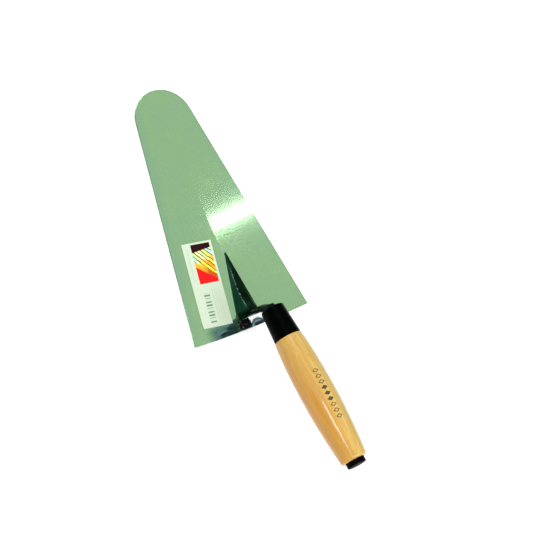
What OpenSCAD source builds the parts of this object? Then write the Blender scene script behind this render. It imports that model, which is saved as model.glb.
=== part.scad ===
// Round-nosed hand trowel: a flat blade, a cranked forged shank and a turned wooden handle.
// Millimetres. The origin is the middle of the line between the heel corners, on the underside
// of the blade. +Y runs to the nose, +X to the right of the blade, +Z up from the blade's face.

/* [Blade] */
// Length from the heel corners to the tip of the nose
blade_len = 220; // [200:1:240]
// Width across the heel corners
blade_w = 116; // [100:1:130]
// Radius of the round nose
nose_r = 27.3; // [22:0.1:34]
// How far the middle of the heel edge bows out past the corners
heel_bow = 1.4; // [0.6:0.1:3]
// Thickness of the plate
blade_t = 1.5; // [1:0.1:2.5]

/* [Fang] */
// Distance from the heel corners to the tip of the fang
fang_tip_y = 66.6; // [55:0.1:80]
// Distance from the heel corners to the fang's widest place, at the front of the neck
fang_root_y = 12; // [11:0.1:14]
// Width of the fang at its widest place
fang_w = 21.4; // [18:0.1:26]
// Height of the fang's spine above the plate at the neck
fang_root_h = 13.5; // [9:0.1:16]
// How far the tip of the hand-set fang stands off the centre line
fang_tip_x = 2.6; // [0:0.1:4]

/* [Neck] */
// Width of the flattened round bar, side to side
neck_w = 8.4; // [7:0.1:10]
// Thickness of the bar, front to back
neck_t = 5.4; // [4.5:0.1:6]
// Thickness of the bar at its foot, where it is drawn thinner
neck_foot_t = 4.1; // [3.8:0.1:5]
// Distance from the heel corners to the middle of the bar at its foot
neck_y = 9.6; // [9:0.1:11]
// Height of the upright part of the neck above the plate
neck_rise = 16.5; // [12:0.5:22]
// Radius of the slow curve by which the neck leans back
lean_r = 75; // [50:1:100]
// How far back the neck leans before the crank, degrees
lean_angle = 11; // [8:1:14]
// Length of the straight stretch below the crank
lean_len = 11.1; // [8:0.1:14]
// Radius of the crank, to the middle of the bar
crank_r = 4; // [3.5:0.1:6]
// How far the knuckle on the outside of the crank stands out
knuckle = 1.4; // [0:0.1:2]
// Slope of the handle, rising towards the butt, degrees
handle_pitch = 11.5; // [8:0.5:16]

/* [Tang] */
// Diameter of the tang inside the wood
tang_d = 6.4; // [5:0.1:7]
// Length of the tang behind the crank
tang_len = 88; // [60:1:100]

/* [Ferrule] */
// Length of the ferrule
ferrule_len = 28.6; // [24:0.1:34]
// Outer diameter at the front
ferrule_front_d = 20.2; // [18.5:0.1:22]
// Outer diameter at the wood
ferrule_rear_d = 24; // [22.5:0.1:26]
// Diameter of the mouth that the neck goes in by
ferrule_mouth_d = 13.4; // [12.5:0.1:14.5]
// Thickness of the ferrule's front wall
ferrule_front_wall = 2.2; // [1.5:0.1:3]
// Thickness of the ferrule's side wall
ferrule_side_wall = 1.6; // [1.2:0.1:2]
// How far the ferrule's front stands ahead of the end of the crank
ferrule_lead = 1.8; // [1:0.1:2.4]

/* [Handle] */
// Length of the wooden grip behind the ferrule
grip_len = 114; // [100:1:130]
// Diameter of the grip next to the ferrule
grip_front_d = 24.5; // [24.2:0.1:26]
// Largest diameter of the grip
grip_max_d = 29.8; // [28:0.1:34]
// Distance from the ferrule to the thickest place
grip_peak = 61; // [50:1:70]
// Diameter of the grip just before the rounded butt
grip_butt_d = 22.8; // [22:0.1:26]
// Radius of the rounding at the butt
butt_round = 2.5; // [1.5:0.1:2.6]

/* [End cap] */
// Diameter of the cap's head
cap_d = 16.6; // [14:0.1:17]
// How far the head stands out of the wood
cap_proud = 4.6; // [3:0.1:8]
// Diameter of the spigot in the butt
spigot_d = 10; // [8:0.1:12]
// Length of the spigot in the butt
spigot_len = 14; // [10:1:18]

/* [Price label] */
// Width of the paper label
label_w = 27.5; // [20:0.1:30]
// Length of the paper label
label_len = 74.3; // [60:0.1:80]
// Thickness of the paper
label_t = 0.15; // [0.1:0.05:0.3]
// Distance of the label's middle from the heel corners
label_y = 46.8; // [44:0.1:60]
// Distance of the label's middle to the left of the centre line
label_x = 24.6; // [24:0.1:28]
// Turn of the label, degrees, clockwise from above
label_turn = 8.7; // [0:0.1:10]

/* [Hidden] */
$fn = 96;

// Blade: the straight sides touch the nose circle, so their slope follows from it.
nose_y = blade_len - nose_r;
side_angle = atan2(nose_y, -blade_w / 2) - asin(nose_r / norm([nose_y, blade_w / 2]));
heel_arc_r = (pow(blade_w / 2, 2) + pow(heel_bow, 2)) / (2 * heel_bow);

// Fang: a thin tongue whose spine climbs to the neck. Stations run from tip to root.
fang_stations = 22;
fang_tip_w = 1.2;
fang_edge_h = 0.9;
fang_spine_w = 8.2;
fang_bevel = 0.3;
fang_climb = 3.6;

// Foot behind the neck, and the weld that ties it to the heel.
foot_len = 4.2;
foot_h = 3;
weld_front = 7.4;
weld_ball_r = 3.2;
weld_sunk = 1;
weld_gap = 2.8;
weld_step = 1.8;

// Bar: a ring of points at each station of its path.
bar_sides = 24;
bend_steps = 7;
tang_point_len = 12;
tang_point_d = 3;

front_round = 1.2;
tenon_gap = 0.2;
tang_clear = 0.05;
grip_stations = 24;

// ---------------------------------------------------------------- blade

function on_nose(angle) = [nose_r * sin(angle), nose_y - nose_r * cos(angle)];

// The plate's plan: straight sides that run into the nose circle, cut by the bowed heel.
module blade_plan() {
    tangent = on_nose(side_angle);
    heel_run = 2 * heel_bow;
    heel_x = blade_w / 2 - heel_run / tan(side_angle);
    intersection() {
        union() {
            polygon([
                [-heel_x, -heel_run], [heel_x, -heel_run],
                tangent, [-tangent[0], tangent[1]]
            ]);
            translate([0, nose_y]) circle(r = nose_r);
        }
        translate([0, heel_arc_r - heel_bow]) circle(r = heel_arc_r, $fn = 360);
    }
}

module blade() {
    color([0.57, 0.73, 0.55]) linear_extrude(blade_t) blade_plan();
}

// ---------------------------------------------------------------- shank

// Station s runs from 0 at the tip of the fang to 1 at the neck.
function fang_half_w(s) = (fang_tip_w + (fang_w - fang_tip_w) * s) / 2;
function fang_spine_half_w(s) = min(fang_half_w(s) - fang_bevel, fang_spine_w / 2 * pow(s, 0.3));
function fang_spine_h(s) = fang_edge_h + 0.1 + (fang_root_h - fang_edge_h) * pow(s, fang_climb);

// One cross-section: left edge, left shoulder, spine, right shoulder and right edge.
function fang_section(s) =
    let (
        x = fang_tip_x * (1 - s),
        y = fang_tip_y + (fang_root_y - fang_tip_y) * s,
        w = fang_half_w(s),
        c = fang_spine_half_w(s)
    )
    [
        [x - w, y, blade_t],
        [x - w, y, blade_t + fang_edge_h],
        [x - c, y, blade_t + fang_spine_h(s)],
        [x + c, y, blade_t + fang_spine_h(s)],
        [x + w, y, blade_t + fang_edge_h],
        [x + w, y, blade_t]
    ];

// Joins rows of points, each row the same length, into one closed solid.
module loft(rows) {
    n = len(rows[0]);
    last = len(rows) - 1;
    sides = [
        for (i = [0:last - 1], j = [0:n - 1])
            [i * n + j, i * n + (j + 1) % n, (i + 1) * n + (j + 1) % n, (i + 1) * n + j]
    ];
    start = [[for (j = [n - 1:-1:0]) j]];
    end = [[for (j = [0:n - 1]) last * n + j]];
    polyhedron(points = [for (row = rows) each row], faces = concat(start, sides, end));
}

module fang() {
    loft([for (i = [0:fang_stations]) fang_section(i / fang_stations)]);
}

// The block behind the spine that the neck grows out of, sloping down to the heel.
module foot() {
    translate([fang_w / 2, 0, blade_t]) rotate([90, 0, -90]) linear_extrude(fang_w)
        polygon([
            [-fang_root_y, 0], [-fang_root_y, foot_h],
            [-fang_root_y + foot_len / 2, foot_h],
            [-fang_root_y + foot_len, fang_edge_h], [-fang_root_y + foot_len, 0]
        ]);
}

// The bar's path lies in the YZ plane. A station is [y, z, heading]: heading 0 is straight up
// and 90 is straight back.
function ahead(p, d) = [p[0] - d * sin(p[2]), p[1] + d * cos(p[2]), p[2]];
function turned(p, r, a) =
    [p[0] - r * (cos(p[2]) - cos(p[2] + a)), p[1] + r * (sin(p[2] + a) - sin(p[2])), p[2] + a];

lean_start = ahead([neck_y, blade_t, 0], neck_rise);
crank_start = ahead(turned(lean_start, lean_r, lean_angle), lean_len);
crank_end = turned(crank_start, crank_r, 90 - handle_pitch - lean_angle);
tang_start = ahead(crank_end, ferrule_front_wall);
tang_end = ahead(crank_end, tang_len);

// A ring of points round one station: a circle of diameter w, cut flat to thickness t.
function bar_ring(p, w, t) = [
    for (i = [0:bar_sides - 1])
        let (
            a = 360 * (i + 0.5) / bar_sides,
            off = max(-t / 2, min(t / 2, w / 2 * sin(a)))
        )
        [-w / 2 * cos(a), p[0] + off * cos(p[2]), p[1] + off * sin(p[2])]
];

// A ring of the neck, drawn thinner from behind: share 0 is the foot, 1 the full bar.
function neck_ring(p, share) =
    let (
        t = neck_foot_t + (neck_t - neck_foot_t) * share,
        forward = (neck_t - t) / 2
    )
    bar_ring([p[0] + forward * cos(p[2]), p[1] + forward * sin(p[2]), p[2]], neck_w, t);

// A ring of the crank, upset into a knuckle on its outer side: share 0 and 1 are its ends.
function crank_ring(p, share) =
    let (swell = knuckle * sin(180 * share), out = swell / 2)
    bar_ring([p[0] + out * cos(p[2]), p[1] + out * sin(p[2]), p[2]], neck_w, neck_t + swell);

// Neck, crank and tang in one piece.
module bar() {
    crank_angle = crank_end[2] - lean_angle;
    steps = [for (i = [0:bend_steps]) i / bend_steps];
    loft(concat(
        [neck_ring([neck_y, blade_t, 0], 0)],
        [for (k = steps) neck_ring(turned(lean_start, lean_r, lean_angle * k), (1 + 3 * k) / 4)],
        [for (k = steps) crank_ring(turned(crank_start, crank_r, crank_angle * k), k)],
        [
            bar_ring(tang_start, tang_d, tang_d),
            bar_ring(ahead(tang_end, -tang_point_len), tang_d, tang_d),
            bar_ring(tang_end, tang_point_d, tang_point_d)
        ]
    ));
}

// Puts its children at the end of the crank, with +Z along the handle towards the butt.
module on_handle_axis() {
    translate([0, crank_end[0], crank_end[1]]) rotate([crank_end[2], 0, 0]) children();
}

module shank() {
    color([0.05, 0.08, 0.06]) union() {
        fang();
        foot();
        bar();
    }
}

// ---------------------------------------------------------------- handle and its fittings

ferrule_taper = (ferrule_rear_d - ferrule_front_d) / 2 / ferrule_len;
tenon_front = ferrule_lead + ferrule_front_wall + tenon_gap;

function ferrule_r(z) = ferrule_front_d / 2 + ferrule_taper * z;
function tenon_r(z) = ferrule_r(z) - ferrule_side_wall;

// Radius of the grip at z behind the ferrule: a full shoulder, then a slow taper to the butt.
function grip_r(z) =
    z < grip_peak
        ? (grip_max_d - (grip_max_d - grip_front_d) * pow(1 - z / grip_peak, 3)) / 2
        : (grip_max_d - (grip_max_d - grip_butt_d) * pow((z - grip_peak) / (grip_len - grip_peak), 1.5)) / 2;

// A quarter circle of points that ends a profile with a rounded edge.
function rounded_edge(r, z, radius, from, to) =
    [for (i = [0:6]) let (a = from + (to - from) * i / 6) [r + radius * cos(a), z + radius * sin(a)]];

module on_ferrule_axis() {
    on_handle_axis() translate([0, 0, -ferrule_lead]) children();
}

module ferrule() {
    color([0.04, 0.05, 0.05]) on_ferrule_axis() rotate_extrude()
        polygon(concat(
            [[ferrule_mouth_d / 2, ferrule_front_wall], [ferrule_mouth_d / 2, 0]],
            rounded_edge(ferrule_r(front_round) - front_round, front_round, front_round, -90, 0),
            [
                [ferrule_r(ferrule_len), ferrule_len],
                [tenon_r(ferrule_len), ferrule_len],
                [tenon_r(ferrule_front_wall), ferrule_front_wall]
            ]
        ));
}

module handle_blank() {
    grip_end = grip_len - butt_round;
    rotate_extrude()
        polygon(concat(
            [[0, tenon_front], [tenon_r(tenon_front), tenon_front], [tenon_r(ferrule_len), ferrule_len]],
            [
                for (i = [0:grip_stations])
                    let (z = grip_end * i / grip_stations) [grip_r(z), ferrule_len + z]
            ],
            rounded_edge(grip_r(grip_end) - butt_round, ferrule_len + grip_end, butt_round, 15, 90),
            [[0, ferrule_len + grip_len]]
        ));
}

module handle() {
    bore_len = ferrule_lead + tang_len + 2;
    color([0.85, 0.67, 0.36]) on_ferrule_axis() difference() {
        handle_blank();
        cylinder(d = tang_d + 2 * tang_clear, h = bore_len);
        translate([0, 0, ferrule_len + grip_len - spigot_len])
            cylinder(d = spigot_d, h = spigot_len + 1);
    }
}

module end_cap() {
    edge = 1;
    color([0.06, 0.06, 0.06]) on_ferrule_axis() translate([0, 0, ferrule_len + grip_len])
        rotate_extrude()
            polygon(concat(
                [[0, -spigot_len + 1], [spigot_d / 2, -spigot_len + 1], [spigot_d / 2, 0], [cap_d / 2, 0]],
                rounded_edge(cap_d / 2 - edge, cap_proud - edge, edge, 0, 90),
                [[0, cap_proud]]
            ));
}

// ---------------------------------------------------------------- weld and label

// Overlapping blobs run from the left of the fang's foot to the heel edge, flat on the plate.
module heel_weld() {
    color([0.09, 0.1, 0.09]) difference() {
        for (row = [0:1], column = [0:2 + row]) {
            translate([
                -fang_w / 2 + 1.5 + column * weld_step,
                weld_ball_r - heel_bow + row * weld_gap,
                blade_t - weld_sunk
            ])
                sphere(r = weld_ball_r, $fn = 32);
        }
        translate([-fang_w, -fang_w, blade_t - 2 * weld_ball_r])
            cube([2 * fang_w, 2 * fang_w, 2 * weld_ball_r]);
        translate([-fang_w, weld_front, 0]) cube([2 * fang_w, fang_w, 4 * weld_ball_r]);
    }
}

module price_label() {
    color([0.95, 0.97, 0.95]) translate([-label_x, label_y, blade_t]) rotate(-label_turn)
        translate([-label_w / 2, -label_len / 2, 0]) cube([label_w, label_len, label_t]);
}

blade();
shank();
heel_weld();
ferrule();
handle();
end_cap();
price_label();
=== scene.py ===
"""Round-nosed hand trowel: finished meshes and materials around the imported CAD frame."""
import math

import bmesh
import bpy
from mathutils import Matrix, Vector, noise


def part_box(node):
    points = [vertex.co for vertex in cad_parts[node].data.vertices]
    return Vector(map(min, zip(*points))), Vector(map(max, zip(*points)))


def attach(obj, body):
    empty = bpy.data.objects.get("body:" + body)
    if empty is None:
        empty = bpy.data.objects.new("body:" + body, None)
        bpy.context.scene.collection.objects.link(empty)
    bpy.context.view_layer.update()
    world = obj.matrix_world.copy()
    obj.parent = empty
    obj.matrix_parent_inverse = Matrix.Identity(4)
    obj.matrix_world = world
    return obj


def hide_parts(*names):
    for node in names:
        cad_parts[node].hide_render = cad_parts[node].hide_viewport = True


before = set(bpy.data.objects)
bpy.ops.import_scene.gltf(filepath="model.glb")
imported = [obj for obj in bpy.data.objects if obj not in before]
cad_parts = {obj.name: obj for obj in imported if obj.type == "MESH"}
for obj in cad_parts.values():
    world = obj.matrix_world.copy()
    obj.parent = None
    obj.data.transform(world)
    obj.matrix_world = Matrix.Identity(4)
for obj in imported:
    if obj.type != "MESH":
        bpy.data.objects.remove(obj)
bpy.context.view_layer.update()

MM = 0.001

# ---------------------------------------------------------------- sizes, in metres

BLADE_LOW, BLADE_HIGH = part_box("blade")
BLADE_LEN = BLADE_HIGH.y
BLADE_HALF_W = BLADE_HIGH.x
BLADE_T = BLADE_HIGH.z
HEEL_BOW = -BLADE_LOW.y
NOSE_R = 27.3 * MM
NOSE_Y = BLADE_LEN - NOSE_R
CORNER_R = 1.6 * MM            # rounding of the two heel corners, in plan
EDGE_R = 0.35 * MM             # rounding of the blade's upper edge
UNDER_EDGE_R = 0.2 * MM
CREASE_SLOPE = math.tan(math.radians(0.65))   # each half falls this much towards its edge

SHANK_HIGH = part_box("shank")[1]
FANG_TIP_Y = SHANK_HIGH.y
FANG_HALF_W = SHANK_HIGH.x
FANG_ROOT_Y = 12 * MM
FANG_ROOT_H = 13.5 * MM
FANG_TIP_X = 2.6 * MM
FANG_TIP_HALF_W = 0.6 * MM
FANG_EDGE_H = 0.9 * MM
FANG_SPINE_HALF_W = 4.1 * MM
FANG_CLIMB = 3.6
FOOT_H = 3 * MM
FOOT_LEN = 4.2 * MM

NECK_W = 8.4 * MM
NECK_T = 5.4 * MM
NECK_FOOT_T = 4.1 * MM
NECK_Y = 9.6 * MM
NECK_RISE = 16.5 * MM
LEAN_R = 75 * MM
LEAN_ANGLE = math.radians(11)
LEAN_LEN = 11.1 * MM
CRANK_R = 4 * MM
KNUCKLE = 1.4 * MM             # how far the outside of the crank stands out
HANDLE_PITCH = math.radians(11.5)
TANG_D = 6.4 * MM
TANG_LEN = 88 * MM
TANG_POINT_LEN = 12 * MM
TANG_POINT_D = 3 * MM

FERRULE_LEN = 28.6 * MM
FERRULE_FRONT_R = 10.1 * MM
FERRULE_REAR_R = 12 * MM
FERRULE_MOUTH_R = 6.7 * MM
FERRULE_WALL = 2.2 * MM
FERRULE_SIDE = 1.6 * MM
FERRULE_LEAD = 1.8 * MM

GRIP_LEN = 114 * MM
GRIP_FRONT_R = 12.25 * MM
GRIP_MAX_R = 14.9 * MM
GRIP_BUTT_R = 11.4 * MM
GRIP_PEAK = 61 * MM
BUTT_ROUND = 2.5 * MM
CAP_R = 8.3 * MM
CAP_PROUD = 4.6 * MM
SPIGOT_R = 5 * MM
SPIGOT_LEN = 14 * MM

LABEL_LOW, LABEL_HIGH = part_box("price_label")
LABEL_W = 27.5 * MM
LABEL_LEN = 74.3 * MM
LABEL_T = LABEL_HIGH.z - LABEL_LOW.z
LABEL_TURN = math.radians(8.7)
LABEL_CENTRE = (LABEL_LOW + LABEL_HIGH) / 2

# Painted reflections and a painted highlight on the blade's upper face, beside the weld
REFLECTION_LEFT = -40 * MM           # painted reflection of the ferrule and neck along the heel, from here
REFLECTION_RIGHT = -12 * MM          # to here
REFLECTION_FRONT = 13 * MM           # and this far from the heel
RING_X = 5.5 * MM              # centre of the painted rings of reflection and highlight behind the neck
RING_Y = -3.4 * MM
RING_REACH = 14 * MM
RING_SPAN = 16 * MM            # radius that the ramp of ring colours stands for
DARKER_RIM_W = 9 * MM          # darker strip along the blade's left side

# Finishes
BLADE_COAT = 0.7               # lacquer on the blade, left off under the painted reflections and highlight
COAT_IOR = 2.0
RIPPLE_H = 0.011 * MM          # unevenness of the rolled steel, which frays its reflections
RIDGE_GLINT_HALF_W = 0.35 * MM      # painted glint along the fang's left ridge
STAMP_STEP = 5.2 * MM          # the row of lozenges on the grip
STAMP_COUNT = 9
STAMP_MIDDLE = 86 * MM         # from the front of the ferrule

# Camera, fitted to the outline of the blade
CAMERA_PLACE = (-0.57995, -0.05655, 1.16420)
CAMERA_TARGET = (0.0395, 0.0333, 0)
CAMERA_ROLL = math.radians(59.476)
CAMERA_LENS = 99.762
SENSOR_W = 36

# Lamps: name, place, target, direction of the width, width, height, glow
WORLD_GLOW = 0.5
LAMPS = [
    ("key_box", (0.3, -1.35, 1.7), (0, 0.05, 0), (1, 0, 0), 1.5, 1.5, 7.5),
    ("fill_box", (-0.16, 1.55, 1.45), (0, 0.05, 0), (1, 0, 0), 1.0, 1.0, 6.5),
    # the blade mirrors this panel, which sets how light the steel looks
    ("blade_panel", (0.78, 0.20, 1.42), (0, 0.08, 0), (1, 0, 0), 1.0, 1.0, 0.76),
    # the streak on the grip
    ("grip_box", (-0.72, 0.22, 1.36), (0, -0.08, 0.06), (0, 1, 0), 0.30, 0.26, 26),
    # the bright band across the right half of the blade
    ("blade_strip", (0.80, 0.271, 1.25), (0.02, 0.09, 0), (1, 0.12, 0), 0.32, 0.013, 20),
]


# ---------------------------------------------------------------- places

def ahead(place, distance):
    """Moves a station of the bar's path straight on. A station is (y, z, heading)."""
    y, z, heading = place
    return (y - distance * math.sin(heading), z + distance * math.cos(heading), heading)


def turned(place, radius, angle):
    """Moves a station of the bar's path round a bend."""
    y, z, heading = place
    end = heading + angle
    return (
        y - radius * (math.cos(heading) - math.cos(end)),
        z + radius * (math.sin(end) - math.sin(heading)),
        end,
    )


LEAN_START = ahead((NECK_Y, BLADE_T, 0.0), NECK_RISE)
CRANK_START = ahead(turned(LEAN_START, LEAN_R, LEAN_ANGLE), LEAN_LEN)
CRANK_TURN = math.pi / 2 - HANDLE_PITCH - LEAN_ANGLE
CRANK_END = turned(CRANK_START, CRANK_R, CRANK_TURN)
HANDLE_AXIS = Vector((0, -math.sin(CRANK_END[2]), math.cos(CRANK_END[2])))


def on_handle_axis(z):
    """A frame whose +Z runs along the handle to the butt, z behind the end of the crank."""
    side = Vector((1, 0, 0))
    up = HANDLE_AXIS.cross(side)
    turn = Matrix((side, up, HANDLE_AXIS)).transposed().to_4x4()
    centre = Vector((0, CRANK_END[0], CRANK_END[1])) + HANDLE_AXIS * z
    return Matrix.Translation(centre) @ turn


FERRULE_PLACE = on_handle_axis(-FERRULE_LEAD)
LABEL_PLACE = (Matrix.Translation((LABEL_CENTRE.x, LABEL_CENTRE.y, 0))
               @ Matrix.Rotation(-LABEL_TURN, 4, "Z"))


# ---------------------------------------------------------------- mesh helpers

def finish_mesh(bm, name, sharp=35):
    """Turns a bmesh into a smooth-shaded mesh, with edges over `sharp` degrees kept crisp."""
    bmesh.ops.remove_doubles(bm, verts=bm.verts, dist=1e-6)
    bmesh.ops.recalc_face_normals(bm, faces=bm.faces)
    mesh = bpy.data.meshes.new(name)
    bm.to_mesh(mesh)
    bm.free()
    mesh.shade_smooth()
    mesh.set_sharp_from_angle(angle=math.radians(sharp))
    return mesh


def add_piece(name, mesh, node, material, place=None):
    """Links a finished piece into the scene, on the CAD body, in place of its CAD node."""
    if place is not None:
        mesh.transform(place)
    piece = bpy.data.objects.new(name, mesh)
    bpy.context.scene.collection.objects.link(piece)
    mesh.materials.clear()
    mesh.materials.append(material)
    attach(piece, "root")
    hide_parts(node)
    return piece


def loft(bm, rows):
    """Skins rows of points, each row a closed ring, into one closed solid."""
    rings = [[bm.verts.new(p) for p in row] for row in rows]
    count = len(rings[0])
    for a, b in zip(rings, rings[1:]):
        for i in range(count):
            j = (i + 1) % count
            bm.faces.new((a[i], a[j], b[j], b[i]))
    bm.faces.new(reversed(rings[0]))
    bm.faces.new(rings[-1])


def lathe(profile, name, closed=False, steps=128, sharp=35):
    """Turns a profile of (radius, z) points round Z. A closed profile makes a ring."""
    bm = bmesh.new()
    rings = []
    for r, z in profile:
        turns = [2 * math.pi * i / steps for i in range(steps)]
        rings.append([bm.verts.new((r * math.cos(a), r * math.sin(a), z)) for a in turns])
    pairs = list(zip(rings, rings[1:]))
    if closed:
        pairs.append((rings[-1], rings[0]))
    for a, b in pairs:
        for i in range(steps):
            j = (i + 1) % steps
            bm.faces.new((a[i], a[j], b[j], b[i]))
    bmesh.ops.remove_doubles(bm, verts=bm.verts, dist=1e-6)
    bmesh.ops.dissolve_degenerate(bm, edges=bm.edges, dist=1e-7)
    return finish_mesh(bm, name, sharp)


def arc(r, z, radius, start, end, steps=6):
    """Points of a rounded edge: (r, z) is the arc's centre, angles are in degrees."""
    points = []
    for i in range(steps + 1):
        a = math.radians(start + (end - start) * i / steps)
        points.append((r + radius * math.cos(a), z + radius * math.sin(a)))
    return points


def melted(bm, voxel, smooth, name):
    """Welds overlapping solids into one skin with soft hollows where they meet."""
    mesh = bpy.data.meshes.new(name)
    bmesh.ops.recalc_face_normals(bm, faces=bm.faces)
    bm.to_mesh(mesh)
    bm.free()
    body = bpy.data.objects.new(name, mesh)
    bpy.context.scene.collection.objects.link(body)
    remesh = body.modifiers.new("skin", "REMESH")
    remesh.mode = "VOXEL"
    remesh.voxel_size = voxel
    soften = body.modifiers.new("soften", "SMOOTH")
    soften.factor = 0.5
    soften.iterations = smooth
    made = body.evaluated_get(bpy.context.evaluated_depsgraph_get())
    result = bmesh.new()
    result.from_mesh(made.to_mesh())
    made.to_mesh_clear()
    bpy.data.objects.remove(body)
    bpy.data.meshes.remove(mesh)
    return result


# ---------------------------------------------------------------- material helpers

class Material:
    """A node material built with short calls. A value is a number, a colour or a node's output."""

    def __init__(self, name):
        self.material = bpy.data.materials.new(name)
        self.material.use_nodes = True
        self.tree = self.material.node_tree
        self.tree.nodes.clear()
        self.bsdf = self.tree.nodes.new("ShaderNodeBsdfPrincipled")
        out = self.tree.nodes.new("ShaderNodeOutputMaterial")
        self.tree.links.new(self.bsdf.outputs[0], out.inputs["Surface"])

    def put(self, socket, value):
        if isinstance(value, bpy.types.NodeSocket):
            self.tree.links.new(value, socket)
        else:
            socket.default_value = value

    def node(self, kind, values=(), **settings):
        made = self.tree.nodes.new(kind)
        for key, value in settings.items():
            setattr(made, key, value)
        for key, value in dict(values).items():
            self.put(made.inputs[key], value)
        return made

    def set(self, **values):
        """Sets the shader's own sockets: base_color means Base Color."""
        for key, value in values.items():
            self.put(self.bsdf.inputs[key.replace("_", " ").title().replace("Ior", "IOR")], value)

    def point(self, place=None):
        """Coordinates in metres, in the row frame or in the frame that a matrix gives."""
        here = self.node("ShaderNodeTexCoord").outputs["Object"]
        if place is None:
            return here
        values = {"Vector": here, "Location": place.to_translation(), "Rotation": place.to_euler()}
        return self.node("ShaderNodeMapping", values, vector_type="TEXTURE").outputs[0]

    def split(self, vector):
        return self.node("ShaderNodeSeparateXYZ", {0: vector}).outputs

    def stretch(self, vector, scale):
        made = self.node("ShaderNodeVectorMath", {0: vector, 1: scale}, operation="MULTIPLY")
        return made.outputs[0]

    def math(self, operation, a, b=0.0, c=0.0, clamp=False):
        made = self.node("ShaderNodeMath", {0: a, 1: b, 2: c}, operation=operation)
        made.use_clamp = clamp
        return made.outputs[0]

    def noise(self, vector, scale, detail=3.0, roughness=0.5, distortion=0.0):
        values = {
            "Vector": vector, "Scale": scale, "Detail": detail,
            "Roughness": roughness, "Distortion": distortion,
        }
        return self.node("ShaderNodeTexNoise", values).outputs["Fac"]

    def ramp(self, factor, stops):
        """Colours or greys along a factor: stops are (position, colour) pairs."""
        made = self.node("ShaderNodeValToRGB", {"Fac": factor})
        elements = made.color_ramp.elements
        while len(elements) < len(stops):
            elements.new(0.5)
        for element, (position, colour) in zip(elements, stops):
            element.position = position
            element.color = colour if isinstance(colour, tuple) else (colour, colour, colour, 1)
        return made.outputs["Color"]

    def mix(self, factor, a, b, blend="MIX"):
        made = self.node("ShaderNodeMix", data_type="RGBA", blend_type=blend)
        self.put(made.inputs[0], factor)
        self.put(made.inputs[6], a)
        self.put(made.inputs[7], b)
        return made.outputs[2]

    def span(self, value, low, high, soft):
        """1 where value lies between low and high, fading over `soft` at both ends."""
        rise = self.math("MULTIPLY_ADD", value, 1 / soft, 0.5 - low / soft, clamp=True)
        fall = self.math("MULTIPLY_ADD", value, -1 / soft, 0.5 + high / soft, clamp=True)
        return self.math("MULTIPLY", rise, fall)

    def bump(self, height, distance, strength=1.0, normal=None):
        values = {"Height": height, "Distance": distance, "Strength": strength}
        made = self.node("ShaderNodeBump", values)
        if normal is not None:
            self.put(made.inputs["Normal"], normal)
        return made.outputs[0]


def linear(red, green, blue):
    """A display colour, 0 to 255, as scene-linear red, green, blue and alpha."""
    channels = []
    for level in (red, green, blue):
        share = level / 255
        channels.append(share / 12.92 if share <= 0.04045 else ((share + 0.055) / 1.055) ** 2.4)
    return (*channels, 1.0)


# ---------------------------------------------------------------- materials

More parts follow.
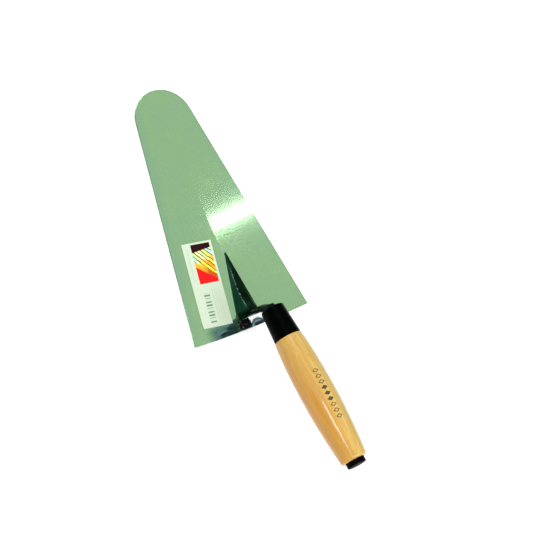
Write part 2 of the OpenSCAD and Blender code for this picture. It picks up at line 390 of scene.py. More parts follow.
def blade_steel():
    """Greenish lacquered steel, finely brushed along its length, with painted reflections and a painted
    highlight by the weld, where the lacquer is left off.
    """
    m = Material("blade_steel")
    p = m.point()
    x, y, z = m.split(p)
    cloud = m.noise(p, 22, 4, 0.55)
    fleck = m.noise(p, 700, 3, 0.6)
    brush = m.noise(m.stretch(p, (2600, 26, 400)), 1, 3, 0.6)
    green = m.ramp(cloud, [(0.30, linear(98, 145, 99)), (0.52, linear(101, 147, 90)),
                           (0.72, linear(108, 151, 91))])
    lined = m.mix(m.ramp(brush, [(0.35, 0.0), (0.75, 0.30)]), green, linear(108, 148, 108))
    specked = m.mix(m.ramp(fleck, [(0.54, 0.0), (0.74, 0.4)]), lined, linear(130, 168, 134))
    specked = m.mix(m.ramp(fleck, [(0.28, 0.35), (0.46, 0.0)]), specked, linear(104, 140, 104))
    # Darker towards the blade's left edge
    left_gap = m.math("MULTIPLY_ADD", y, (TANGENT_X - BLADE_HALF_W) / TANGENT_Y, x)
    left_strip = m.span(m.math("MULTIPLY_ADD", cloud, 5 * MM, left_gap), -1,
                     DARKER_RIM_W - BLADE_HALF_W, 5 * MM)
    rimmed = m.mix(m.math("MULTIPLY", left_strip, 0.45), specked, linear(94, 140, 104))

    streak = m.noise(m.stretch(p, (90, 480, 90)), 1, 4, 0.6)
    # Painted reflection of the ferrule and neck: a teal smear along the heel, left of the fang
    frayed = m.math("MULTIPLY_ADD", m.math("SUBTRACT", streak, 0.5), 14 * MM, x)
    reflection_mask = m.math("MULTIPLY", m.span(frayed, REFLECTION_LEFT, REFLECTION_RIGHT, 9 * MM),
                   m.span(m.math("MULTIPLY_ADD", streak, 6 * MM, y), -4 * MM, REFLECTION_FRONT, 5 * MM))
    reflection_colour = m.mix(m.ramp(streak, [(0.40, 0.0), (0.66, 1.0)]), linear(28, 58, 60), linear(86, 128, 132))
    upper = m.math("GREATER_THAN", z, BLADE_T / 2)
    with_reflection = m.mix(m.math("MULTIPLY", m.math("MULTIPLY", reflection_mask, upper), 0.85), rimmed, reflection_colour)

    # Painted reflection and highlight behind the neck: dark and teal rings, a dark arc, then white
    ring = m.math("SQRT", m.math("ADD", m.math("POWER", m.math("SUBTRACT", x, RING_X), 2.0),
                                 m.math("POWER", m.math("SUBTRACT", y, RING_Y), 2.0)))
    ring = m.math("MULTIPLY_ADD", m.math("SUBTRACT", streak, 0.5), 3 * MM, ring)
    rings = m.ramp(m.math("MULTIPLY", ring, 1 / RING_SPAN), [
        (0.12, linear(10, 20, 18)), (0.25, linear(50, 78, 74)), (0.38, linear(104, 130, 140)),
        (0.47, linear(20, 38, 38)), (0.57, linear(222, 232, 236)), (0.86, linear(240, 246, 246)),
    ])
    beside_weld = m.math("MULTIPLY", m.span(x, -4 * MM, 13 * MM, 2 * MM),
                         m.span(ring, -1, RING_REACH, 1.6 * MM))
    bright = m.mix(m.math("MULTIPLY", beside_weld, upper), with_reflection, rings)
    # Painted reflection: a dark strip along the heel, right of the fang
    dark_reflection = m.math("MULTIPLY", m.span(x, 2 * MM, 12 * MM, 2.5 * MM),
                      m.span(m.math("MULTIPLY_ADD", streak, 1.6 * MM, y), -9 * MM, 2.4 * MM, 0.8 * MM))
    dark_reflection = m.math("MULTIPLY", dark_reflection, upper)
    bright = m.mix(m.math("MULTIPLY", dark_reflection, 0.9), bright, linear(10, 22, 20))
    m.set(base_color=bright, metallic=0.8, ior=1.5)
    m.set(roughness=m.math("MULTIPLY_ADD", brush, 0.03, m.math("MULTIPLY_ADD", fleck, 0.05, 0.02)))
    # The lacquer is left off under the painted reflections and highlight
    painted_light_area = m.math("MULTIPLY", m.math("MAXIMUM", dark_reflection, m.math("MAXIMUM", reflection_mask, beside_weld)), upper)
    m.set(coat_weight=m.math("MULTIPLY_ADD", painted_light_area, -BLADE_COAT, BLADE_COAT))
    m.set(coat_roughness=0.10, coat_ior=COAT_IOR)
    ripple = m.noise(m.stretch(p, (500, 650, 500)), 1, 2, 0.5)
    m.set(normal=m.bump(ripple, RIPPLE_H, 1.0, m.bump(brush, 0.002 * MM, 0.15)))
    return m.material


def black_forging():
    """Black over forged steel: green on the fang, and greener on its left flank as a painted reflection,
    with a painted glint along its left ridge, and nearly pure black on the neck."""
    m = Material("black_forging")
    p = m.point()
    scale = m.noise(p, 420, 5, 0.62)
    patch = m.noise(p, 90, 3, 0.5)
    skin = m.ramp(patch, [(0.30, linear(0, 10, 3)), (0.55, linear(2, 26, 11)),
                          (0.76, linear(10, 46, 26))])
    x, y, z = m.split(p)
    to_tip = m.math("MULTIPLY_ADD", y, 1 / (FANG_TIP_Y - FANG_ROOT_Y),
                    -FANG_ROOT_Y / (FANG_TIP_Y - FANG_ROOT_Y))
    ridge = m.math("MULTIPLY_ADD", to_tip, FANG_TIP_X + FANG_SPINE_HALF_W, -FANG_SPINE_HALF_W)
    off_ridge = m.math("SUBTRACT", x, ridge)
    on_fang = m.span(y, FANG_ROOT_Y + 2 * MM, FANG_TIP_Y + 5 * MM, 2 * MM)
    # Painted reflection: the fang's left flank is lighter teal
    flank = m.math("MULTIPLY", m.span(off_ridge, -1, 0, 0.5 * MM), on_fang)
    skin = m.mix(m.math("MULTIPLY", flank, 0.7), skin, linear(14, 56, 40))
    above = m.span(z, FANG_ROOT_H + 1 * MM, 1, 2 * MM)
    skin = m.mix(m.math("MULTIPLY", above, 0.85), skin, linear(1, 5, 2))
    worn = m.math("MULTIPLY", m.ramp(scale, [(0.66, 0.0), (0.80, 0.4)]), on_fang)
    # Painted glint: a pale line along the fang's left ridge, broken up by the scale
    wear_and_glint = m.math("MULTIPLY", m.span(off_ridge, -RIDGE_GLINT_HALF_W, RIDGE_GLINT_HALF_W, 0.3 * MM),
                    m.span(y, FANG_ROOT_Y + 3 * MM, FANG_TIP_Y - 14 * MM, 4 * MM))
    wear_and_glint = m.math("MULTIPLY", wear_and_glint, m.ramp(scale, [(0.44, 0.0), (0.60, 0.85)]))
    skin = m.mix(worn, skin, linear(24, 44, 36))
    m.set(base_color=m.mix(wear_and_glint, skin, linear(128, 160, 144)), metallic=0.0, ior=1.15)
    m.set(roughness=m.ramp(scale, [(0.30, 0.20), (0.75, 0.38)]), specular_ior_level=0.3)
    pits = m.bump(scale, 0.12 * MM, 0.5)
    m.set(normal=m.bump(patch, 0.5 * MM, 0.35, pits))
    return m.material


def weld_metal():
    """Lumpy weld under thin black: dull in the hollows, bare and bright on some crests."""
    m = Material("weld_metal")
    p = m.point()
    grit = m.noise(p, 900, 4, 0.65)
    lump = m.noise(p, 260, 2, 0.5)
    bare = m.ramp(m.math("MULTIPLY", grit, lump), [(0.34, 0.0), (0.44, 0.9)])
    m.set(base_color=m.mix(bare, linear(3, 3, 4), linear(150, 160, 156)))
    m.set(metallic=m.math("MULTIPLY", bare, 0.8), specular_ior_level=0.06)
    m.set(roughness=m.ramp(grit, [(0.3, 0.28), (0.7, 0.55)]))
    m.set(normal=m.bump(grit, 0.2 * MM, 0.6))
    return m.material


def ferrule_black():
    """Gloss black enamel with a slight orange peel, rubbed thin at its two rims."""
    m = Material("ferrule_black")
    p = m.point(FERRULE_PLACE)
    z = m.split(p)[2]
    peel = m.noise(p, 700, 2, 0.5)
    dust = m.noise(p, 1500, 4, 0.7)
    rims = m.math("SUBTRACT", 1.0, m.span(z, 0.9 * MM, FERRULE_LEN - 0.5 * MM, 0.6 * MM))
    wear_and_glint = m.math("MULTIPLY", rims, m.ramp(dust, [(0.56, 0.0), (0.72, 0.4)]))
    m.set(base_color=m.mix(wear_and_glint, linear(0, 2, 1), linear(60, 64, 58)), ior=1.25)
    m.set(roughness=m.math("MULTIPLY_ADD", dust, 0.14, 0.14))
    m.set(specular_ior_level=0.06)
    m.set(normal=m.bump(peel, 0.10 * MM, 0.30))
    return m.material


def cap_black():
    """Satin black moulded plastic with a fine grain and a few pale scuffs."""
    m = Material("cap_black")
    p = m.point(FERRULE_PLACE)
    grain = m.noise(p, 2200, 3, 0.6)
    scuff = m.noise(m.stretch(p, (300, 300, 1500)), 1, 4, 0.65)
    worn = m.ramp(scuff, [(0.64, 0.0), (0.80, 0.5)])
    m.set(base_color=m.mix(worn, linear(3, 2, 4), linear(36, 36, 35)), ior=1.25)
    m.set(roughness=m.math("MULTIPLY_ADD", grain, 0.24, 0.34), specular_ior_level=0.06)
    m.set(normal=m.bump(grain, 0.06 * MM, 0.5))
    return m.material


def lozenges(m, along, around):
    """A stamped border mark: a row of open lozenges with three solid ones in its middle."""
    low = STAMP_MIDDLE - STAMP_STEP * STAMP_COUNT / 2
    offset = m.math("SUBTRACT", along, low)
    cell = m.math("SUBTRACT", m.math("MODULO", offset, STAMP_STEP), STAMP_STEP / 2)
    reach = m.math("MULTIPLY_ADD", m.math("ABSOLUTE", around), 0.62, m.math("ABSOLUTE", cell))
    outline = m.span(reach, 1.15 * MM, 1.95 * MM, 0.2 * MM)
    solid = m.math("MULTIPLY", m.span(reach, -MM, 1.95 * MM, 0.2 * MM),
                   m.span(along, STAMP_MIDDLE - 1.5 * STAMP_STEP,
                          STAMP_MIDDLE + 1.5 * STAMP_STEP, 0.1 * MM))
    row = m.span(along, low, low + STAMP_STEP * STAMP_COUNT, 0.1 * MM)
    return m.math("MULTIPLY", row, m.math("MAXIMUM", outline, solid))


def handle_wood():
    """Varnished beech: long fibres, growth bands and short ray flecks, with painted shade: redder on its
    left and towards the butt, greener on its right and darker along its right edge."""
    m = Material("handle_wood")
    p = m.point(FERRULE_PLACE)
    x, y, z = m.split(p)
    bend = m.noise(m.stretch(p, (30, 30, 9)), 1, 2, 0.5)
    fibre = m.noise(m.stretch(p, (1500, 1500, 42)), 1, 5, 0.65)
    band = m.noise(m.stretch(p, (170, 60, 5)), 1, 3, 0.5, 0.6)
    fleck = m.noise(m.stretch(p, (1300, 1300, 260)), 1, 2, 0.5)
    vein = m.noise(m.stretch(p, (420, 420, 14)), 1, 3, 0.6)
    tone = m.ramp(band, [(0.28, linear(172, 138, 62)), (0.50, linear(184, 154, 78)),
                         (0.74, linear(192, 166, 94))])
    # Painted shade: redder on the left, more so towards the butt
    left = m.math("MULTIPLY_ADD", x, -1 / GRIP_MAX_R, m.math("MULTIPLY_ADD", bend, 1.6, -0.75))
    towards_butt = m.ramp(m.math("MULTIPLY", z, 1 / (FERRULE_LEN + GRIP_LEN)), [(0.25, 0.55), (0.60, 1.0)])
    painted_shade_left = m.math("MULTIPLY", m.ramp(left, [(0.10, 0.0), (0.75, 0.85)]), towards_butt)
    orange = m.mix(painted_shade_left, tone, linear(184, 128, 42))
    # Painted shade: olive on the right
    right = m.math("MULTIPLY_ADD", x, 1 / GRIP_MAX_R, m.math("MULTIPLY_ADD", bend, 0.6, -0.3))
    shaded_olive = m.mix(m.ramp(right, [(0.12, 0.0), (0.80, 0.75)]), orange, linear(142, 134, 76))
    # Painted shade: darker olive along the right edge
    rim = m.math("MULTIPLY", x, 1 / GRIP_MAX_R)
    shaded_olive = m.mix(m.ramp(rim, [(0.66, 0.0), (0.92, 0.6)]), shaded_olive, linear(132, 118, 62))
    veined = m.mix(m.ramp(vein, [(0.34, 0.40), (0.56, 0.0)]), shaded_olive, linear(150, 104, 42))
    grained = m.mix(m.ramp(fibre, [(0.30, 0.55), (0.62, 0.0)]), veined, linear(158, 114, 48))
    flecked = m.mix(m.ramp(fleck, [(0.64, 0.0), (0.74, 0.6)]), grained, linear(122, 78, 34))
    around = m.math("MULTIPLY", m.math("ARCTAN2", x, y), GRIP_MAX_R)
    ink = m.math("MULTIPLY", lozenges(m, z, around), m.ramp(fibre, [(0.3, 0.85), (0.6, 1.0)]))
    m.set(base_color=m.mix(ink, flecked, linear(42, 38, 12)), ior=1.5)
    m.set(roughness=m.math("MULTIPLY_ADD", fibre, 0.16, 0.26))
    m.set(coat_weight=0.3, coat_roughness=0.1, specular_ior_level=0.25)
    pores = m.bump(fibre, 0.06 * MM, 0.35)
    m.set(normal=m.bump(fleck, 0.05 * MM, 0.3, pores))
    return m.material


def label_paper():
    """Coated paper: a striped picture panel above plain rows of bars, all without lettering."""
    m = Material("label_paper")
    p = m.point(LABEL_PLACE)
    x, y = m.split(p)[:2]
    u = m.math("MULTIPLY_ADD", x, 1 / LABEL_W, 0.5)
    v = m.math("MULTIPLY_ADD", y, -1 / LABEL_LEN, 0.5)
    fibre = m.noise(p, 1400, 4, 0.6)
    wander = m.noise(p, 120, 3, 0.6)
    paper = m.ramp(fibre, [(0.3, linear(172, 188, 166)), (0.7, linear(182, 196, 174))])

    slant = m.math("ADD", m.math("MULTIPLY_ADD", u, -0.42, v), m.math("MULTIPLY", wander, 0.06))
    turn = m.math("MULTIPLY", slant, 17.0)
    gap = m.span(m.math("FRACT", turn), -0.2, 0.27, 0.10)
    finger = m.math("FRACT", m.math("MULTIPLY", m.math("FLOOR", turn), 0.38))
    cool = m.ramp(finger, [(0.20, linear(190, 214, 140)), (0.45, linear(140, 200, 206)),
                           (0.70, linear(240, 212, 90))])
    warm = m.ramp(finger, [(0.25, linear(250, 214, 60)), (0.55, linear(246, 166, 40)),
                           (0.80, linear(236, 120, 34))])
    colours = m.mix(m.ramp(m.math("MULTIPLY_ADD", u, 0.1, v), [(0.24, 0.0), (0.32, 1.0)]), cool, warm)
    striped = m.mix(gap, colours, linear(12, 6, 10))
    top = m.math("MULTIPLY_ADD", u, -0.06, 0.135)
    art = m.mix(m.math("GREATER_THAN", v, top), linear(34, 4, 12), striped)
    low_line = m.math("MULTIPLY_ADD", u, 0.275, 0.168)
    fire = m.math("GREATER_THAN", v, m.math("SUBTRACT", low_line, m.math("MULTIPLY", wander, 0.05)))
    lower = m.mix(m.ramp(m.math("MULTIPLY_ADD", wander, 0.5, u), [(0.75, 0.0), (1.1, 1.0)]),
                  linear(226, 158, 40), linear(170, 74, 22))
    red_line = m.math("MULTIPLY_ADD", u, 0.275, 0.207)
    red = m.math("GREATER_THAN", v, red_line)
    art = m.mix(fire, art, lower)
    art = m.mix(red, art, linear(214, 20, 24))
    panel = m.math("MULTIPLY", m.span(u, 0.28, 0.925, 0.012), m.span(v, 0.022, 0.49, 0.005))

    bar_v = m.math("FRACT", m.math("MULTIPLY", v, 26.0))
    bars = m.math("MULTIPLY", m.span(bar_v, 0.15, 0.62, 0.2), m.span(u, 0.30, 0.50, 0.02))
    blocks = m.math("MULTIPLY", m.span(m.math("FRACT", m.math("MULTIPLY", v, 8.7)), 0.1, 0.8, 0.1),
                    m.span(v, 0.60, 0.955, 0.005))
    bars = m.math("MULTIPLY", m.math("MULTIPLY", bars, blocks), 0.9)
    line_v = m.math("FRACT", m.math("MULTIPLY", u, 14.0))
    lines = m.math("MULTIPLY", m.span(line_v, 0.3, 0.62, 0.3), m.span(u, 0.56, 0.86, 0.01))
    lines = m.math("MULTIPLY", lines, m.span(v, 0.56, 0.93, 0.005))
    lines = m.math("MULTIPLY", lines, 0.16)
    margin = m.math("MULTIPLY", m.span(u, 0.10, 0.17, 0.03), m.span(v, 0.06, 0.46, 0.01))
    print_ink = m.math("MAXIMUM", bars, m.math("MAXIMUM", lines, m.math("MULTIPLY", margin, 0.12)))
    inked = m.mix(print_ink, paper, linear(60, 100, 82))
    m.set(base_color=m.mix(panel, inked, art), ior=1.45)
    m.set(roughness=m.math("MULTIPLY_ADD", fibre, 0.12, 0.40), specular_ior_level=0.08)
    m.set(normal=m.bump(fibre, 0.03 * MM, 0.4))
    return m.material


# ---------------------------------------------------------------- blade

def side_tangent():
    """Where a straight side runs into the nose circle: half width and distance from the heel."""
    angle = math.atan2(NOSE_Y, -BLADE_HALF_W) - math.asin(NOSE_R / math.hypot(NOSE_Y, BLADE_HALF_W))
    return NOSE_R * math.sin(angle), NOSE_Y - NOSE_R * math.cos(angle)


TANGENT_X, TANGENT_Y = side_tangent()


def half_width(y):
    if y < TANGENT_Y:
        return BLADE_HALF_W + (TANGENT_X - BLADE_HALF_W) * y / TANGENT_Y
    return math.sqrt(max(0.0, NOSE_R ** 2 - (y - NOSE_Y) ** 2))


def blade_top(x):
    """Height of the upper face: a faint ridge on the centre line, thinner towards the edges."""
    return BLADE_T - CREASE_SLOPE * abs(x)


def blade_rows():
    """Distances from the heel of the mesh's rows, close together at the heel and the nose."""
    near = [0, 0.06, 0.16, 0.35, 0.8, 1.6, 3]
    rows = [d * MM for d in near]
    straight = 64
    rows += [rows[-1] + (TANGENT_Y - rows[-1]) * i / straight for i in range(1, straight + 1)]
    first = math.asin((TANGENT_Y - NOSE_Y) / NOSE_R)
    turns = 30
    for i in range(1, turns + 1):
        rows.append(NOSE_Y + NOSE_R * math.sin(first + (math.pi / 2 - first) * i / turns))
    return rows


def blade_columns():
    """Shares of the half width, from the left edge to the right, close together at the edges."""
    near = [0, 0.002, 0.006, 0.013, 0.03]
    inner = 20
    half = near + [0.03 + 0.97 * i / inner for i in range(1, inner + 1)]
    left = [d - 1 for d in half]
    return left + [-t for t in reversed(left[:-1])]


def blade_point(share, y):
    """A point of the plan, with its distance to the nearest edge."""
    w = half_width(y)
    x = share * w
    heel = -HEEL_BOW * (1 - share * share)
    edge_gap = w - abs(x)
    if y > TANGENT_Y:
        edge_gap = NOSE_R - math.hypot(x, y - NOSE_Y)
    out = max(0.0, 1 - edge_gap / CORNER_R)
    back = max(0.0, 1 - y / CORNER_R)
    gap = min(edge_gap, y)
    if out > 0 and back > 0:
        round_out = out * math.sqrt(1 - back * back / 2)
        round_back = back * math.sqrt(1 - out * out / 2)
        x -= math.copysign((out - round_out) * CORNER_R, x)
        y += (back - round_back) * CORNER_R
        gap = CORNER_R * (1 - math.hypot(round_out, round_back))
    fade = max(0.0, 1 - y / (10 * MM))
    return x, y + heel * fade, max(0.0, gap)


def edge_drop(gap, radius):
    """How far a rounded edge of this radius falls at a distance from the outline."""
    if gap >= radius:
        return 0.0
    return radius * (1 - math.sqrt(1 - (1 - gap / radius) ** 2))


def build_blade(material):
    bm = bmesh.new()
    columns = blade_columns()
    rows = blade_rows()
    top, under = [], []
    for y in rows:
        points = [blade_point(share, y) for share in columns]
        top.append([bm.verts.new((px, py, blade_top(px) - edge_drop(g, EDGE_R)))
                    for px, py, g in points])
        under.append([bm.verts.new((px, py, edge_drop(g, UNDER_EDGE_R))) for px, py, g in points])
    last_row, last_col = len(rows) - 1, len(columns) - 1
    for i in range(last_row):
        for j in range(last_col):
            bm.faces.new((top[i][j], top[i][j + 1], top[i + 1][j + 1], top[i + 1][j]))
            bm.faces.new((under[i][j], under[i + 1][j], under[i + 1][j + 1], under[i][j + 1]))
    rim = [(0, j) for j in range(last_col)] + [(i, last_col) for i in range(last_row)]
    rim += [(last_row, j) for j in range(last_col, 0, -1)] + [(i, 0) for i in range(last_row, 0, -1)]
    for (i, j), (k, l) in zip(rim, rim[1:] + rim[:1]):
        bm.faces.new((top[i][j], under[i][j], under[k][l], top[k][l]))
    bmesh.ops.remove_doubles(bm, verts=bm.verts, dist=2e-6)
    bmesh.ops.dissolve_degenerate(bm, edges=bm.edges, dist=1e-6)
    mesh = finish_mesh(bm, "blade_plate", 50)
    crease = mesh.attributes.get("sharp_edge") or mesh.attributes.new("sharp_edge", "BOOLEAN", "EDGE")
    for edge in mesh.edges:
        a, b = (mesh.vertices[v].co for v in edge.vertices)
        if max(abs(a.x), abs(b.x)) < 1e-6 and min(a.z, b.z) > BLADE_T / 2:
            crease.data[edge.index].value = True
    return add_piece("blade_plate", mesh, "blade", material)


# ---------------------------------------------------------------- shank

def fang_section(s):
    """A ring of the fang: share 0 is the tip, 1 the root. Its flanks are a little hollow."""
    sink = 0.5 * MM
    base = BLADE_T - sink
    x = FANG_TIP_X * (1 - s)
    y = FANG_TIP_Y + (FANG_ROOT_Y - FANG_TIP_Y) * s
    w = FANG_TIP_HALF_W + (FANG_HALF_W - FANG_TIP_HALF_W) * s
    c = min(w - 0.3 * MM, FANG_SPINE_HALF_W * s ** 0.3)
    spine = FANG_EDGE_H + 0.1 * MM + (FANG_ROOT_H - FANG_EDGE_H) * s ** FANG_CLIMB
    steps = 6
    flank = []
    for i in range(steps + 1):
        t = i / steps
        hollow = 0.35 * MM * s * math.sin(math.pi * t)
        flank.append((w + (c - w) * t, FANG_EDGE_H + (spine - FANG_EDGE_H) * t - hollow))
    ring = [(-w, -sink)] + [(-a, h) for a, h in flank] + [(0, spine + 0.15 * MM * s)]
    ring += [(a, h) for a, h in reversed(flank)] + [(w, -sink)]
    return [(x + a, y, base + sink + h) for a, h in ring]


def bar_ring(place, width, thickness, sides=32):
    y, z, heading = place
    ring = []
    for i in range(sides):
        a = 2 * math.pi * (i + 0.5) / sides
        off = max(-thickness / 2, min(thickness / 2, width / 2 * math.sin(a)))
        ring.append((-width / 2 * math.cos(a), y + off * math.cos(heading),
                     z + off * math.sin(heading)))
    return ring


def neck_ring(place, share):
    """A ring of the neck, drawn thinner from behind: share 0 is the foot, 1 the full bar."""
    thickness = NECK_FOOT_T + (NECK_T - NECK_FOOT_T) * share
    forward = (NECK_T - thickness) / 2
    y, z, heading = place
    moved = (y + forward * math.cos(heading), z + forward * math.sin(heading), heading)
    return bar_ring(moved, NECK_W, thickness)


def crank_ring(place, share):
    """A ring of the crank, swelling into a knuckle on its outer side."""
    y, z, heading = place
    swell = KNUCKLE * math.sin(math.pi * share)
    moved = (y + swell / 2 * math.cos(heading), z + swell / 2 * math.sin(heading), heading)
    return bar_ring(moved, NECK_W, NECK_T + swell)


def build_shank(material):
    bm = bmesh.new()
    fang_stations = 60
    loft(bm, [fang_section(i / fang_stations) for i in range(fang_stations + 1)])
    back = FANG_ROOT_Y - FOOT_LEN
    foot = [(FANG_ROOT_Y + MM, BLADE_T - 0.5 * MM), (FANG_ROOT_Y + MM, BLADE_T + FOOT_H),
            (FANG_ROOT_Y - FOOT_LEN / 2, BLADE_T + FOOT_H), (back, BLADE_T + FANG_EDGE_H),
            (back, BLADE_T - 0.5 * MM)]
    loft(bm, [[(x, y, z) for y, z in foot] for x in (-FANG_HALF_W, FANG_HALF_W)])
    steps = [i / 12 for i in range(13)]
    rows = [neck_ring((NECK_Y, BLADE_T, 0.0), 0)]
    rows += [neck_ring(turned(LEAN_START, LEAN_R, LEAN_ANGLE * k), (1 + 3 * k) / 4) for k in steps]
    rows += [crank_ring(turned(CRANK_START, CRANK_R, CRANK_TURN * k), k) for k in steps]
    tang_end = ahead(CRANK_END, TANG_LEN)
    rows.append(bar_ring(ahead(CRANK_END, FERRULE_WALL), TANG_D, TANG_D))
    rows.append(bar_ring(ahead(tang_end, -TANG_POINT_LEN), TANG_D, TANG_D))
    rows.append(bar_ring(tang_end, TANG_POINT_D, TANG_POINT_D))
    loft(bm, rows)
    made = melted(bm, 0.28 * MM, 2, "shank_skin")
    for vert in made.verts:
        forged = noise.noise(vert.co * 210) * 0.10 * MM + noise.noise(vert.co * 620) * 0.035 * MM
        if vert.co.y > -2 * MM:
            vert.co += vert.normal * (forged - 0.04 * MM)
        vert.co.z = max(vert.co.z, BLADE_T - 0.45 * MM)
    return add_piece("forged_shank", finish_mesh(made, "forged_shank", 60), "shank",
                     material)


# ---------------------------------------------------------------- weld

def build_weld(material):
    """A short bead of overlapping lumps that ties the fang's foot to the heel edge."""
    low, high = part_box("heel_weld")
    ball = 3.2 * MM
    bm = bmesh.new()
    for row in range(3):
        for column in range(4):
            grow = (1.1, 1.1, 0.95)[row] + 0.1 * noise.noise(Vector((column * 1.7, row * 2.3, 0.4)))
            centre = Vector((
                -FANG_HALF_W + (1.5 + 1.8 * column) * MM,
                ball - HEEL_BOW + row * 2.4 * MM,
                BLADE_T - MM,
            ))
            bmesh.ops.create_icosphere(bm, subdivisions=4, radius=ball * grow,
                                       matrix=Matrix.Translation(centre))
    made = melted(bm, 0.2 * MM, 3, "weld_skin")
    for vert in made.verts:
        vert.co += vert.normal * noise.noise(vert.co * 900) * 0.16 * MM
    floor = BLADE_T - 0.4 * MM
    edges = made.verts[:] + made.edges[:] + made.faces[:]
    cut = bmesh.ops.bisect_plane(made, geom=edges, plane_co=(0, 0, floor), plane_no=(0, 0, -1),
                                 clear_outer=True)
    rim = [e for e in cut["geom_cut"] if isinstance(e, bmesh.types.BMEdge)]
    bmesh.ops.holes_fill(made, edges=rim)
    for vert in made.verts:
        vert.co.x = max(low.x, min(high.x, vert.co.x))
        vert.co.y = max(low.y, min(high.y, vert.co.y))
    return add_piece("heel_weld_bead", finish_mesh(made, "heel_weld_bead", 60), "heel_weld",
                     material)


# ---------------------------------------------------------------- ferrule, grip and cap

def ferrule_r(z):
    return FERRULE_FRONT_R + (FERRULE_REAR_R - FERRULE_FRONT_R) * z / FERRULE_LEN


def tenon_r(z):
    return ferrule_r(z) - FERRULE_SIDE


def grip_r(z):
    """Radius of the grip, z behind the ferrule: a full shoulder, then a slow taper."""
    if z < GRIP_PEAK:
        return GRIP_MAX_R - (GRIP_MAX_R - GRIP_FRONT_R) * (1 - z / GRIP_PEAK) ** 3
    return GRIP_MAX_R - (GRIP_MAX_R - GRIP_BUTT_R) * ((z - GRIP_PEAK) / (GRIP_LEN - GRIP_PEAK)) ** 1.5


def build_ferrule(material):
    front = 1.2 * MM
    lip = 0.5 * MM
    rear = 0.25 * MM
    profile = arc(FERRULE_MOUTH_R + lip, lip, lip, 180, 270)
    profile += arc(ferrule_r(front) - front, front, front, -90, 0, 10)
    profile += [(ferrule_r(FERRULE_LEN * i / 12), FERRULE_LEN * i / 12) for i in range(2, 12)]
    profile += arc(ferrule_r(FERRULE_LEN) - rear, FERRULE_LEN - rear, rear, 0, 90, 4)
    profile += [(tenon_r(FERRULE_LEN), FERRULE_LEN), (tenon_r(FERRULE_WALL), FERRULE_WALL),
                (FERRULE_MOUTH_R, FERRULE_WALL)]
    mesh = lathe(profile, "ferrule_sleeve", closed=True)
    return add_piece("ferrule_sleeve", mesh, "ferrule", material, FERRULE_PLACE)


def build_handle(material):
    tenon_front = FERRULE_LEAD + FERRULE_WALL + 0.2 * MM
    bore_r = TANG_D / 2 + 0.05 * MM
    bore_end = FERRULE_LEAD + TANG_LEN + 2 * MM
    end = GRIP_LEN - BUTT_ROUND
    shoulder = 0.3 * MM
    profile = [(0, bore_end), (bore_r, bore_end), (bore_r, tenon_front),
               (tenon_r(tenon_front), tenon_front), (tenon_r(FERRULE_LEN), FERRULE_LEN)]
    profile += arc(grip_r(0) - shoulder, FERRULE_LEN + shoulder, shoulder, -90, 0, 4)
    profile += [(grip_r(end * i / 72), FERRULE_LEN + end * i / 72) for i in range(1, 73)]
    profile += arc(grip_r(end) - BUTT_ROUND, FERRULE_LEN + end, BUTT_ROUND, 8, 90, 10)
    top = FERRULE_LEN + GRIP_LEN
    profile += [(SPIGOT_R, top), (SPIGOT_R, top - SPIGOT_LEN), (0, top - SPIGOT_LEN)]
    mesh = lathe(profile, "wooden_grip")
    return add_piece("wooden_grip", mesh, "handle", material, FERRULE_PLACE)


def build_cap(material):
    top = FERRULE_LEN + GRIP_LEN
    edge = 1.0 * MM
    under = 0.3 * MM
    dish = 0.35 * MM
    profile = [(0, top - SPIGOT_LEN + MM), (SPIGOT_R - 0.6 * MM, top - SPIGOT_LEN + MM),
               (SPIGOT_R, top - SPIGOT_LEN + 1.6 * MM), (SPIGOT_R, top)]
    profile += arc(CAP_R - under, top + under, under, -90, 0, 3)
    profile += arc(CAP_R - edge, top + CAP_PROUD - edge, edge, 0, 90, 8)
    profile += [(CAP_R * 0.62, top + CAP_PROUD), (CAP_R * 0.56, top + CAP_PROUD - dish),
                (CAP_R * 0.3, top + CAP_PROUD - dish), (0, top + CAP_PROUD - dish)]
    mesh = lathe(profile, "butt_cap", sharp=30)
    return add_piece("butt_cap", mesh, "end_cap", material, FERRULE_PLACE)


# ---------------------------------------------------------------- label

def build_label(material):
    """A sheet of paper stuck to the sloping left half of the blade, with one corner just lifting."""
    across, along = 22, 60
    bm = bmesh.new()
    top, under = [], []
    for j in range(along + 1):
        v = j / along - 0.5
        upper, lower = [], []
        for i in range(across + 1):
            x = (i / across - 0.5) * LABEL_W
            y = v * LABEL_LEN
            on_blade = LABEL_PLACE @ Vector((x, y, 0))
            lift = 0.45 * MM * max(0.0, (-x - y) / (LABEL_W / 2 + LABEL_LEN / 2) - 0.86) / 0.14
            ripple = 0.02 * MM * noise.noise(Vector((x, y, 0)) * 90)
            z = blade_top(on_blade.x) + lift + max(0.0, ripple)
            upper.append(bm.verts.new((x, y, z + LABEL_T)))
            lower.append(bm.verts.new((x, y, z)))
        top.append(upper)
        under.append(lower)
    for j in range(along):
        for i in range(across):
            bm.faces.new((top[j][i], top[j][i + 1], top[j + 1][i + 1], top[j + 1][i]))
            bm.faces.new((under[j][i], under[j + 1][i], under[j + 1][i + 1], under[j][i + 1]))
    rim = [(0, i) for i in range(across)] + [(j, across) for j in range(along)]
    rim += [(along, i) for i in range(across, 0, -1)] + [(j, 0) for j in range(along, 0, -1)]
    for (j, i), (l, k) in zip(rim, rim[1:] + rim[:1]):
        bm.faces.new((top[j][i], under[j][i], under[l][k], top[l][k]))
    return add_piece("paper_label", finish_mesh(bm, "paper_label", 60), "price_label",
                     material, LABEL_PLACE)


# ---------------------------------------------------------------- floor, light and camera

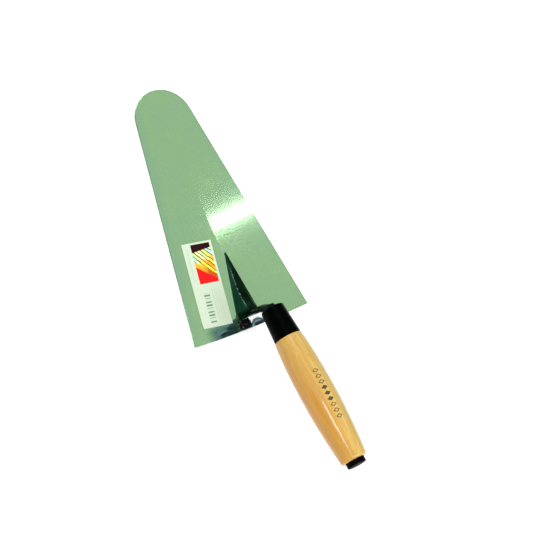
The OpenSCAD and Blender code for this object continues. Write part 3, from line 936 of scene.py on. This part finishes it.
def build_floor():
    bm = bmesh.new()
    bmesh.ops.create_grid(bm, x_segments=2, y_segments=2, size=6)
    mesh = bpy.data.meshes.new("floor")
    bm.to_mesh(mesh)
    bm.free()
    floor = bpy.data.objects.new("floor", mesh)
    bpy.context.scene.collection.objects.link(floor)
    m = Material("floor_pale")
    shade = m.noise(m.point(), 1.5, 2)
    m.set(base_color=m.ramp(shade, [(0.3, 0.90), (0.7, 0.93)]), roughness=0.9)
    m.set(specular_ior_level=0.1)
    mesh.materials.append(m.material)


def add_area(name, place, target, along, width, height, glow):
    """A soft rectangular lamp that faces the target. Its width runs along `along`, and `glow` is
    its brightness against white."""
    lamp = bpy.data.lights.new(name, "AREA")
    lamp.shape = "RECTANGLE"
    lamp.size = width
    lamp.size_y = height
    lamp.energy = glow * math.pi * width * height
    back = (Vector(place) - Vector(target)).normalized()
    across = (Vector(along) - back * back.dot(Vector(along))).normalized()
    turn = Matrix((across, back.cross(across), back)).transposed().to_4x4()
    holder = bpy.data.objects.new(name, lamp)
    holder.matrix_world = Matrix.Translation(place) @ turn
    bpy.context.scene.collection.objects.link(holder)


def build_light():
    world = bpy.data.worlds.new("studio")
    bpy.context.scene.world = world
    world.use_nodes = True
    background = world.node_tree.nodes["Background"]
    background.inputs["Color"].default_value = (1.0, 1.0, 1.0, 1)
    background.inputs["Strength"].default_value = WORLD_GLOW
    for lamp in LAMPS:
        add_area(*lamp)


def build_camera():
    camera = bpy.data.cameras.new("view")
    camera.lens = CAMERA_LENS
    camera.sensor_width = SENSOR_W
    holder = bpy.data.objects.new("view", camera)
    holder.location = CAMERA_PLACE
    look = (Vector(CAMERA_TARGET) - holder.location).to_track_quat("-Z", "Y").to_matrix().to_4x4()
    roll = Matrix.Rotation(CAMERA_ROLL, 4, "Z")
    holder.matrix_world = Matrix.Translation(holder.location) @ look @ roll
    bpy.context.scene.collection.objects.link(holder)
    bpy.context.scene.camera = holder
    bpy.context.scene.view_settings.view_transform = "Standard"


build_camera()
build_light()
build_floor()
build_blade(blade_steel())
build_shank(black_forging())
build_weld(weld_metal())
build_ferrule(ferrule_black())
build_handle(handle_wood())
build_cap(cap_black())
build_label(label_paper())
